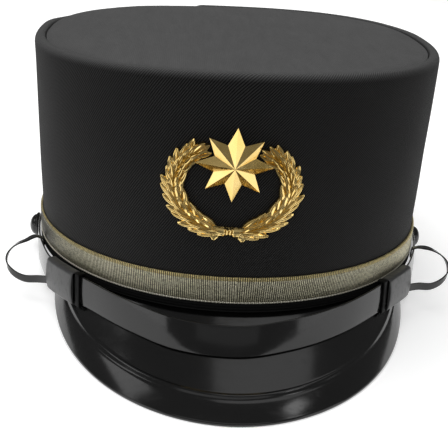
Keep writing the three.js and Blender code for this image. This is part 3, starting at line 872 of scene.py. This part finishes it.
def ribbon():
    """The plain ribbon that ties the branches: a knot and two forked tails."""

    def knot(share, t):
        off = BADGE_OFF + 1.0 + 1.5 * math.sqrt(max(0, 1 - t * t)) + 0.25 * math.cos(share * math.pi * 6)
        return (share - 0.5) * 3.4, off, -WREATH_HALF[1] + t * 2.0 * (1 - 0.25 * math.sin(math.pi * share))

    parts = [grid_shape(19, 9, knot)]
    for side in (-1, 1):
        def tail(share, t, side=side):
            flare = 0.75 + 0.35 * share
            notch = 0.9 * share * (1 - abs(t)) * (share > 0.95)
            along = share * 5.6 - notch
            turn = math.radians(24 + 12 * share)
            x = side * (1.6 + along * math.cos(turn) - t * flare * math.sin(turn))
            z = -WREATH_HALF[1] - 0.8 - along * math.sin(turn) * 0.75 - t * flare * math.cos(turn)
            off = BADGE_OFF + 1.1 + 0.35 * math.sin(share * math.pi * 3) + 0.25 * (1 - t * t)
            return x, off, z

        parts.append(grid_shape(17, 7, tail))
    return parts


def build_badge(material):
    parts = [star(), stem(1), stem(-1), *ribbon()]
    tracks = (
        # spread from the branch, length, width, lift and where along the branch it starts
        (-0.5, 9.4, 3.5, 0.0, 0.0),
        (0.56, 9.6, 3.5, 0.0, 0.45),
        (-0.12, 8.6, 3.1, 0.8, 0.25),
        (0.2, 8.2, 3.0, 0.75, 0.7),
    )
    for side in (1, -1):
        for spread, length, width, lift, start in tracks:
            for i in range(LEAF_ROWS):
                share = (i + start) / LEAF_ROWS
                a = math.radians(mix(-80, 86 - WREATH_OPENING, share))
                x = WREATH_HALF[0] * math.cos(a)
                z = WREATH_HALF[1] * math.sin(a)
                along = math.atan2(WREATH_HALF[1] * math.cos(a), -WREATH_HALF[0] * math.sin(a))
                sway = 0.07 * math.sin(i * 2.4 + side + spread * 9)
                way = along + spread + sway
                angle = way if side > 0 else math.pi - way
                grown = 1 - 0.16 * share + 0.05 * math.sin(i * 1.7 + spread * 5)
                bend = side * math.copysign(0.9, spread)
                parts.append(leaf(side * x, z, angle, length * grown, width, lift + 0.3 * share, bend))
    points, faces, _ = join(parts)
    piece = finish_piece("gilt_badge", points, faces, None, material, ["badge"], "badge_gilt")
    piece.data.set_sharp_from_angle(angle=BADGE_SHARP_FROM)
    return piece


# ---- materials ----


class Shade:
    """A material under construction, with short names for the nodes it uses."""

    def __init__(self, name, fixed):
        self.material = bpy.data.materials.new(name)
        self.material.use_nodes = True
        self.tree = self.material.node_tree
        self.shader = self.tree.nodes["Principled BSDF"]
        for socket, value in fixed.items():
            self.shader.inputs[socket].default_value = value

    def node(self, kind, inputs=(), out=0, **settings):
        made = self.tree.nodes.new(kind)
        for key, value in settings.items():
            setattr(made, key, value)
        for socket, value in dict(inputs).items():
            self.plug(made.inputs[socket], value)
        return made.outputs[out]

    def plug(self, socket, value):
        if isinstance(value, bpy.types.NodeSocket):
            self.tree.links.new(value, socket)
        else:
            socket.default_value = value

    def math(self, operation, a, b=0.0, c=0.0):
        return self.node("ShaderNodeMath", {0: a, 1: b, 2: c}, operation=operation)

    def place(self):
        return self.node("ShaderNodeTexCoord", out="Object")

    def weave(self):
        """The piece's own weave coordinates in millimetres: along and across."""
        flat = self.node("ShaderNodeUVMap", uv_map="Weave")
        split = self.node("ShaderNodeSeparateXYZ", {0: flat}).node
        return split.outputs[0], split.outputs[1]

    def noise(self, vector, scale, detail=2.0, rough=0.5):
        inputs = {"Vector": vector, "Scale": scale, "Detail": detail, "Roughness": rough}
        return self.node("ShaderNodeTexNoise", inputs, out="Fac")

    def fit(self, value, low, high, to_low, to_high):
        return self.node("ShaderNodeMapRange", {0: value, 1: low, 2: high, 3: to_low, 4: to_high})

    def blend(self, share, a, b):
        mixer = self.tree.nodes.new("ShaderNodeMix")
        mixer.data_type = "RGBA"
        self.plug(mixer.inputs["Factor"], share)
        self.plug(mixer.inputs[6], a)
        self.plug(mixer.inputs[7], b)
        return mixer.outputs[2]

    def wave(self, value, pitch, phase=0.0):
        """A sine of a length, from 0 to 1, repeating at the pitch."""
        turned = self.math("MULTIPLY_ADD", value, math.tau / pitch, phase)
        return self.math("MULTIPLY_ADD", self.math("SINE", turned), 0.5, 0.5)

    def bump(self, height, distance, strength=1.0):
        inputs = {"Height": height, "Distance": distance, "Strength": strength}
        self.plug(self.shader.inputs["Normal"], self.node("ShaderNodeBump", inputs))

    def set(self, socket, value):
        self.plug(self.shader.inputs[socket], value)


def grey(value, warm=0.0):
    return (value * (1 + warm), value, value * (1 - warm), 1)


def twill_cloth():
    shade = Shade("black_twill", {
        "Roughness": 0.85, "Specular IOR Level": 0.2, "Sheen Weight": 0.04, "Sheen Roughness": 0.3,
    })
    along, across = shade.weave()
    angle = math.radians(52)
    line = shade.math(
        "SUBTRACT",
        shade.math("MULTIPLY", along, math.sin(angle)),
        shade.math("MULTIPLY", across, math.cos(angle)),
    )
    wander = shade.math("MULTIPLY", shade.noise(shade.place(), 60, 3), 0.5)
    ribs = shade.wave(shade.math("ADD", line, wander), 0.8)
    yarn = shade.wave(
        shade.math(
            "ADD",
            shade.math("MULTIPLY", along, math.cos(angle)),
            shade.math("MULTIPLY", across, math.sin(angle)),
        ),
        0.62,
    )
    fuzz = shade.noise(shade.place(), 900, 3, 0.6)
    cloud = shade.noise(shade.place(), 22, 4, 0.55)
    relief = shade.math("MULTIPLY_ADD", yarn, 0.25, shade.math("MULTIPLY_ADD", fuzz, 0.3, ribs))
    tone = shade.math("MULTIPLY_ADD", fuzz, 0.25, shade.math("MULTIPLY", ribs, 0.75))
    dark = shade.blend(cloud, grey(0.0015), grey(0.003))
    light = shade.blend(cloud, grey(0.030), grey(0.040, 0.02))
    cloth = shade.blend(shade.fit(tone, 0.2, 0.85, 0, 1), dark, light)
    # the turned rim is painted lighter, a tone that stands in for the light from above on its upturned
    # face; across runs up the outer face and over the rim
    past_turn = shade.fit(across, 88.6, 90.6, 0, 1)
    before_well = shade.fit(across, 94.6, 95.6, 1, 0)
    on_rim = shade.math("MULTIPLY", past_turn, before_well)
    # painted top light: the rim's lighter tone is light from above, not wear
    rim_painted_top_light = shade.blend(shade.fit(tone, 0.2, 0.85, 0, 1), grey(0.030), grey(0.085))
    shade.set("Base Color", shade.blend(on_rim, cloth, rim_painted_top_light))
    shade.bump(relief, 0.00009, 0.8)
    return shade.material


def lid_cloth():
    shade = Shade("black_lid_cloth", {
        "Roughness": 0.9, "Specular IOR Level": 0.25, "Sheen Weight": 0.15, "Sheen Roughness": 0.4,
    })
    along, across = shade.weave()
    warp = shade.wave(along, 0.7)
    weft = shade.wave(across, 0.7)
    fuzz = shade.noise(shade.place(), 800, 4, 0.65)
    streak = shade.noise(
        shade.node("ShaderNodeMapping", {"Vector": shade.place(), "Scale": (1.0, 0.12, 1.0)}), 260, 3, 0.6
    )
    cloud = shade.noise(shade.place(), 16, 4, 0.5)
    checks = shade.math("MULTIPLY", warp, weft)
    tone = shade.math("MULTIPLY_ADD", checks, 0.3, shade.math("MULTIPLY", fuzz, 0.5))
    tone = shade.math("MULTIPLY_ADD", streak, 0.35, tone)
    low = shade.blend(cloud, grey(0.030), grey(0.038))
    high = shade.blend(cloud, grey(0.068), grey(0.078))
    shade.set("Base Color", shade.blend(shade.fit(tone, 0.25, 0.85, 0, 1), low, high))
    shade.bump(shade.math("ADD", checks, fuzz), 0.00008, 0.7)
    return shade.material


def hem_cloth():
    shade = Shade("hem_binding_cloth", {
        "Roughness": 0.85, "Specular IOR Level": 0.12, "Sheen Weight": 0.04, "Sheen Roughness": 0.4,
    })
    along, across = shade.weave()
    rib = shade.wave(along, 0.42)
    row = shade.wave(across, 0.5)
    fuzz = shade.noise(shade.place(), 1100, 3, 0.6)
    half_fuzz = shade.math("MULTIPLY", fuzz, 0.5)
    tone = shade.math("MULTIPLY_ADD", shade.math("MULTIPLY", rib, row), 0.5, half_fuzz)
    shade.set("Base Color", shade.blend(shade.fit(tone, 0.2, 0.8, 0, 1), grey(0.0035), grey(0.014)))
    shade.bump(tone, 0.0001, 0.8)
    return shade.material


def braid_metal():
    """Flat metal strip woven over a core: olive gold in the field, yellower in the top edge."""
    shade = Shade("gold_braid_weave", {"Metallic": 0.3, "Specular IOR Level": 0.5})
    along, across = shade.weave()
    rib = shade.wave(along, RIB_PITCH, math.pi / 2)
    rows = shade.math("DIVIDE", across, 0.45)
    offset = shade.math("MULTIPLY", shade.math("FLOOR", shade.math("DIVIDE", along, RIB_PITCH)), 0.5)
    pick = shade.wave(shade.math("ADD", rows, offset), 1.0)
    cell = shade.node("ShaderNodeCombineXYZ", {0: shade.math("DIVIDE", along, RIB_PITCH), 1: rows})
    glint = shade.node("ShaderNodeTexVoronoi", {"Vector": cell, "Scale": 1.0}, out="Color")
    glint = shade.node("ShaderNodeSeparateXYZ", {0: glint})
    wear = shade.noise(shade.place(), 90, 3, 0.6)
    # the rib and pick waves paint shade into the grooves between threads, near black there and full colour
    # on the crests; the voronoi cells paint random glints into the colour and also vary the roughness
    warp = shade.fit(rib, 0.25, 0.6, 0.04, 1.5)
    weft = shade.fit(pick, 0.0, 0.6, 0.5, 1.0)
    thread_relief_and_painted_light = shade.math("MULTIPLY", warp, weft)
    thread_relief_and_painted_light = shade.math("MULTIPLY", thread_relief_and_painted_light, shade.fit(glint, 0.0, 1.0, 0.4, 1.35))
    field = shade.blend(wear, (0.78, 0.73, 0.50, 1), (0.95, 0.91, 0.70, 1))
    edge = (0.80, 0.66, 0.30, 1)
    in_edge = shade.fit(across, 12.9, 13.1, 0.0, 1.0)
    colour = shade.blend(in_edge, field, edge)
    # painted shade between the threads and painted glints over the braid's own colour
    shade.set("Base Color", shade.blend(thread_relief_and_painted_light, (0.02, 0.018, 0.01, 1), colour))
    shade.set("Roughness", shade.fit(glint, 0.0, 1.0, 0.3, 0.55))
    shade.bump(thread_relief_and_painted_light, 0.00012, 0.8)
    return shade.material


def cord_metal():
    shade = Shade("pale_edge_cord", {"Metallic": 0.35})
    along, _ = shade.weave()
    strand = shade.wave(along, 0.75)
    fibre = shade.noise(shade.place(), 1400, 3, 0.6)
    tone = shade.math("MULTIPLY_ADD", fibre, 0.4, shade.math("MULTIPLY", strand, 0.6))
    dark = (0.20, 0.18, 0.12, 1)
    pale = (0.80, 0.77, 0.66, 1)
    shade.set("Base Color", shade.blend(shade.fit(tone, 0.1, 0.8, 0, 1), dark, pale))
    shade.set("Roughness", shade.fit(fibre, 0.2, 0.8, 0.35, 0.6))
    shade.bump(tone, 0.00008, 0.6)
    return shade.material


def glossy_black(name, base, rough, ripple, grain, specular=0.5):
    """Black patent or vinyl: slow ripples bend its reflections, and fine handling marks dull it."""
    shade = Shade(name, {
        "IOR": 1.5, "Specular IOR Level": specular, "Coat Weight": 0.05, "Coat Roughness": 0.1,
    })
    slow = shade.noise(shade.place(), 28, 2, 0.45)
    fine = shade.noise(shade.place(), grain, 4, 0.6)
    marks = shade.noise(
        shade.node("ShaderNodeMapping", {"Vector": shade.place(), "Scale": (1.0, 6.0, 3.0)}), 140, 5, 0.7
    )
    shade.set("Base Color", shade.blend(slow, grey(base), grey(base * 1.7)))
    worn = shade.fit(marks, 0.5, 0.85, rough, rough * 2.2)
    shade.set("Roughness", shade.math("MULTIPLY_ADD", fine, rough * 0.4, worn))
    relief = shade.math("MULTIPLY_ADD", fine, 0.02, slow)
    shade.bump(relief, ripple, 1.0)
    return shade.material


def gilt():
    shade = Shade("polished_gilt", {"Metallic": 1.0, "Specular IOR Level": 0.5})
    stain = shade.noise(shade.place(), 130, 4, 0.6)
    fine = shade.noise(shade.place(), 900, 3, 0.6)
    warm = shade.blend(shade.fit(stain, 0.3, 0.7, 0, 1), (0.88, 0.61, 0.19, 1), (0.96, 0.72, 0.30, 1))
    hollow = shade.node("ShaderNodeNewGeometry", out="Pointiness")
    shade.set("Base Color", shade.blend(shade.fit(hollow, 0.44, 0.52, 0, 1), (0.72, 0.50, 0.18, 1), warm))
    shade.set("Roughness", shade.fit(stain, 0.3, 0.75, 0.12, 0.2))
    shade.bump(shade.math("MULTIPLY_ADD", fine, 0.05, stain), 0.00005, 0.4)
    return shade.material


def pale_floor():
    shade = Shade("pale_floor", {
        "Roughness": 0.95,
        "Specular IOR Level": 0.0,
        "Emission Color": (1, 1, 1, 1),
        "Emission Strength": 0.5,
    })
    grain = shade.noise(shade.place(), 300, 2, 0.5)
    shade.set("Base Color", shade.blend(grain, grey(0.72), grey(0.76)))
    return shade.material


# ---- the pieces ----

twill = twill_cloth()
strap_vinyl = glossy_black("strap_vinyl_gloss", 0.006, 0.11, 0.00035, 700)
slide_vinyl = glossy_black("slide_vinyl_satin", 0.030, 0.3, 0.0003, 900)
keeper_vinyl = glossy_black("keeper_vinyl_dark", 0.003, 0.5, 0.0002, 900, specular=0.12)
peak_patent = glossy_black("peak_patent_gloss", 0.004, 0.13, 0.0004, 500)
button_gloss = glossy_black("button_plastic_gloss", 0.004, 0.06, 0.0001, 900)

build_crown_side(twill)
build_crown_top(lid_cloth())
build_braid(braid_metal())
build_edge_cord(cord_metal())
build_hem(hem_cloth())
build_peak(peak_patent)
build_front_strap(strap_vinyl)
build_chin_strap(strap_vinyl)
for word, side in (("left", 1), ("right", -1)):
    slide = f"slide_sleeve_{word}"
    keeper = f"keeper_sleeve_{word}"
    build_sleeve(slide, side, SLIDE, True, slide_vinyl, [f"slide_{word}"], "strap_vinyl", 1.4, 0.6)
    build_sleeve(keeper, side, KEEPER, False, keeper_vinyl, [f"keeper_{word}"], "keeper_vinyl", 0.4, 0.1)
    build_button(f"button_dome_{word}", side, button_gloss, [f"button_{word}"])
build_badge(gilt())

# ---- floor, light and camera ----

FLOOR_RADIUS = 0.41
FLOOR_BACK = 0.21  # the floor lies mostly behind and beside the cap
FLOOR_BAY = 0.065  # its front edge draws in this far before the peak, over this half width
FLOOR_BAY_HALF = 0.13
FLOOR_SIDES = 192

floor_mesh = bpy.data.meshes.new("floor")
ring = []
for i in range(FLOOR_SIDES):
    x = FLOOR_RADIUS * math.cos(math.tau * i / FLOOR_SIDES)
    y = FLOOR_BACK + FLOOR_RADIUS * math.sin(math.tau * i / FLOOR_SIDES)
    if y < 0:
        y += FLOOR_BAY * bump_at(x, 0, FLOOR_BAY_HALF)
    ring.append((x, y, 0.0))
floor_mesh.from_pydata(ring, [], [tuple(range(FLOOR_SIDES))])
floor_mesh.materials.append(pale_floor())
floor = bpy.data.objects.new("floor", floor_mesh)
bpy.context.scene.collection.objects.link(floor)


def area_light(name, at, aim, size, radiance, diffuse, glossy):
    """A soft rectangle of light; radiance is what its face looks like, 1 being white."""
    light = bpy.data.lights.new(name, "AREA")
    light.shape = "RECTANGLE"
    light.size, light.size_y = size
    light.energy = radiance * math.pi * size[0] * size[1]
    lamp = bpy.data.objects.new(name, light)
    lamp.location = at
    lamp.rotation_euler = (Vector(aim) - Vector(at)).to_track_quat("-Z", "Y").to_euler()
    lamp.visible_camera = False
    lamp.visible_diffuse = diffuse
    lamp.visible_glossy = glossy
    bpy.context.scene.collection.objects.link(lamp)


LIGHTS = (
    # name, place, aim, size, radiance, and whether dull and shiny surfaces see it
    ("key_above", (-0.25, 0.15, 1.5), (0, 0, 0.05), (1.5, 1.5), 3.6, True, False),
    ("fill_front", (-0.35, -1.25, 0.75), (0, 0, 0.06), (1.2, 0.8), 1.1, True, False),
    ("card_above", (0.335, 0.085, 1.2), (0.335, 0.085, 0), (0.87, 0.83), 0.85, False, True),
    ("card_above_left", (-0.8, -0.08, 0.65), (0, 0, 0.03), (0.4, 0.4), 1.6, False, True),
    ("card_above_right", (0.7, -0.42, 0.9), (0, 0, 0.03), (0.2, 0.2), 3.5, False, True),
    ("card_left", (-0.9, -0.5, 0.12), (0, -0.1, 0.07), (0.5, 0.5), 1.35, False, True),
    ("card_right", (0.9, -0.5, 0.12), (0, -0.1, 0.07), (0.5, 0.5), 1.2, False, True),
    ("card_front", (-0.1, -1.1, 0.95), (0, -0.1, 0.07), (1.7, 0.5), 0.55, False, True),
    ("card_front_low", (0, -1.25, 0.12), (0, -0.1, 0.05), (1.1, 0.36), 0.2, False, True),
)
for row in LIGHTS:
    area_light(*row)


def white_world(tree, strength):
    made = tree.nodes.new("ShaderNodeBackground")
    made.inputs["Color"].default_value = (1, 1, 1, 1)
    made.inputs["Strength"].default_value = strength
    return made


world = bpy.data.worlds.new("studio")
bpy.context.scene.world = world
world.use_nodes = True
tree = world.node_tree
tree.nodes.clear()
seen = white_world(tree, 1.0)  # what the camera sees
felt = white_world(tree, 0.15)  # what every other ray meets
path = tree.nodes.new("ShaderNodeLightPath")
either = tree.nodes.new("ShaderNodeMixShader")
output = tree.nodes.new("ShaderNodeOutputWorld")
tree.links.new(path.outputs["Is Camera Ray"], either.inputs[0])
tree.links.new(felt.outputs[0], either.inputs[1])
tree.links.new(seen.outputs[0], either.inputs[2])
tree.links.new(either.outputs[0], output.inputs["Surface"])

bpy.context.scene.view_settings.view_transform = "Standard"
bpy.context.scene.view_settings.look = "None"

camera_data = bpy.data.cameras.new("camera")
camera_data.lens = 84.83
camera_data.sensor_width = 36.0
camera_data.clip_start = 0.01
camera = bpy.data.objects.new("camera", camera_data)
camera.location = (-0.023652, -0.434493, 0.223932)
camera.rotation_euler = (math.radians(65.479), math.radians(-2.790), math.radians(-1.610))
bpy.context.scene.collection.objects.link(camera)
bpy.context.scene.camera = camera
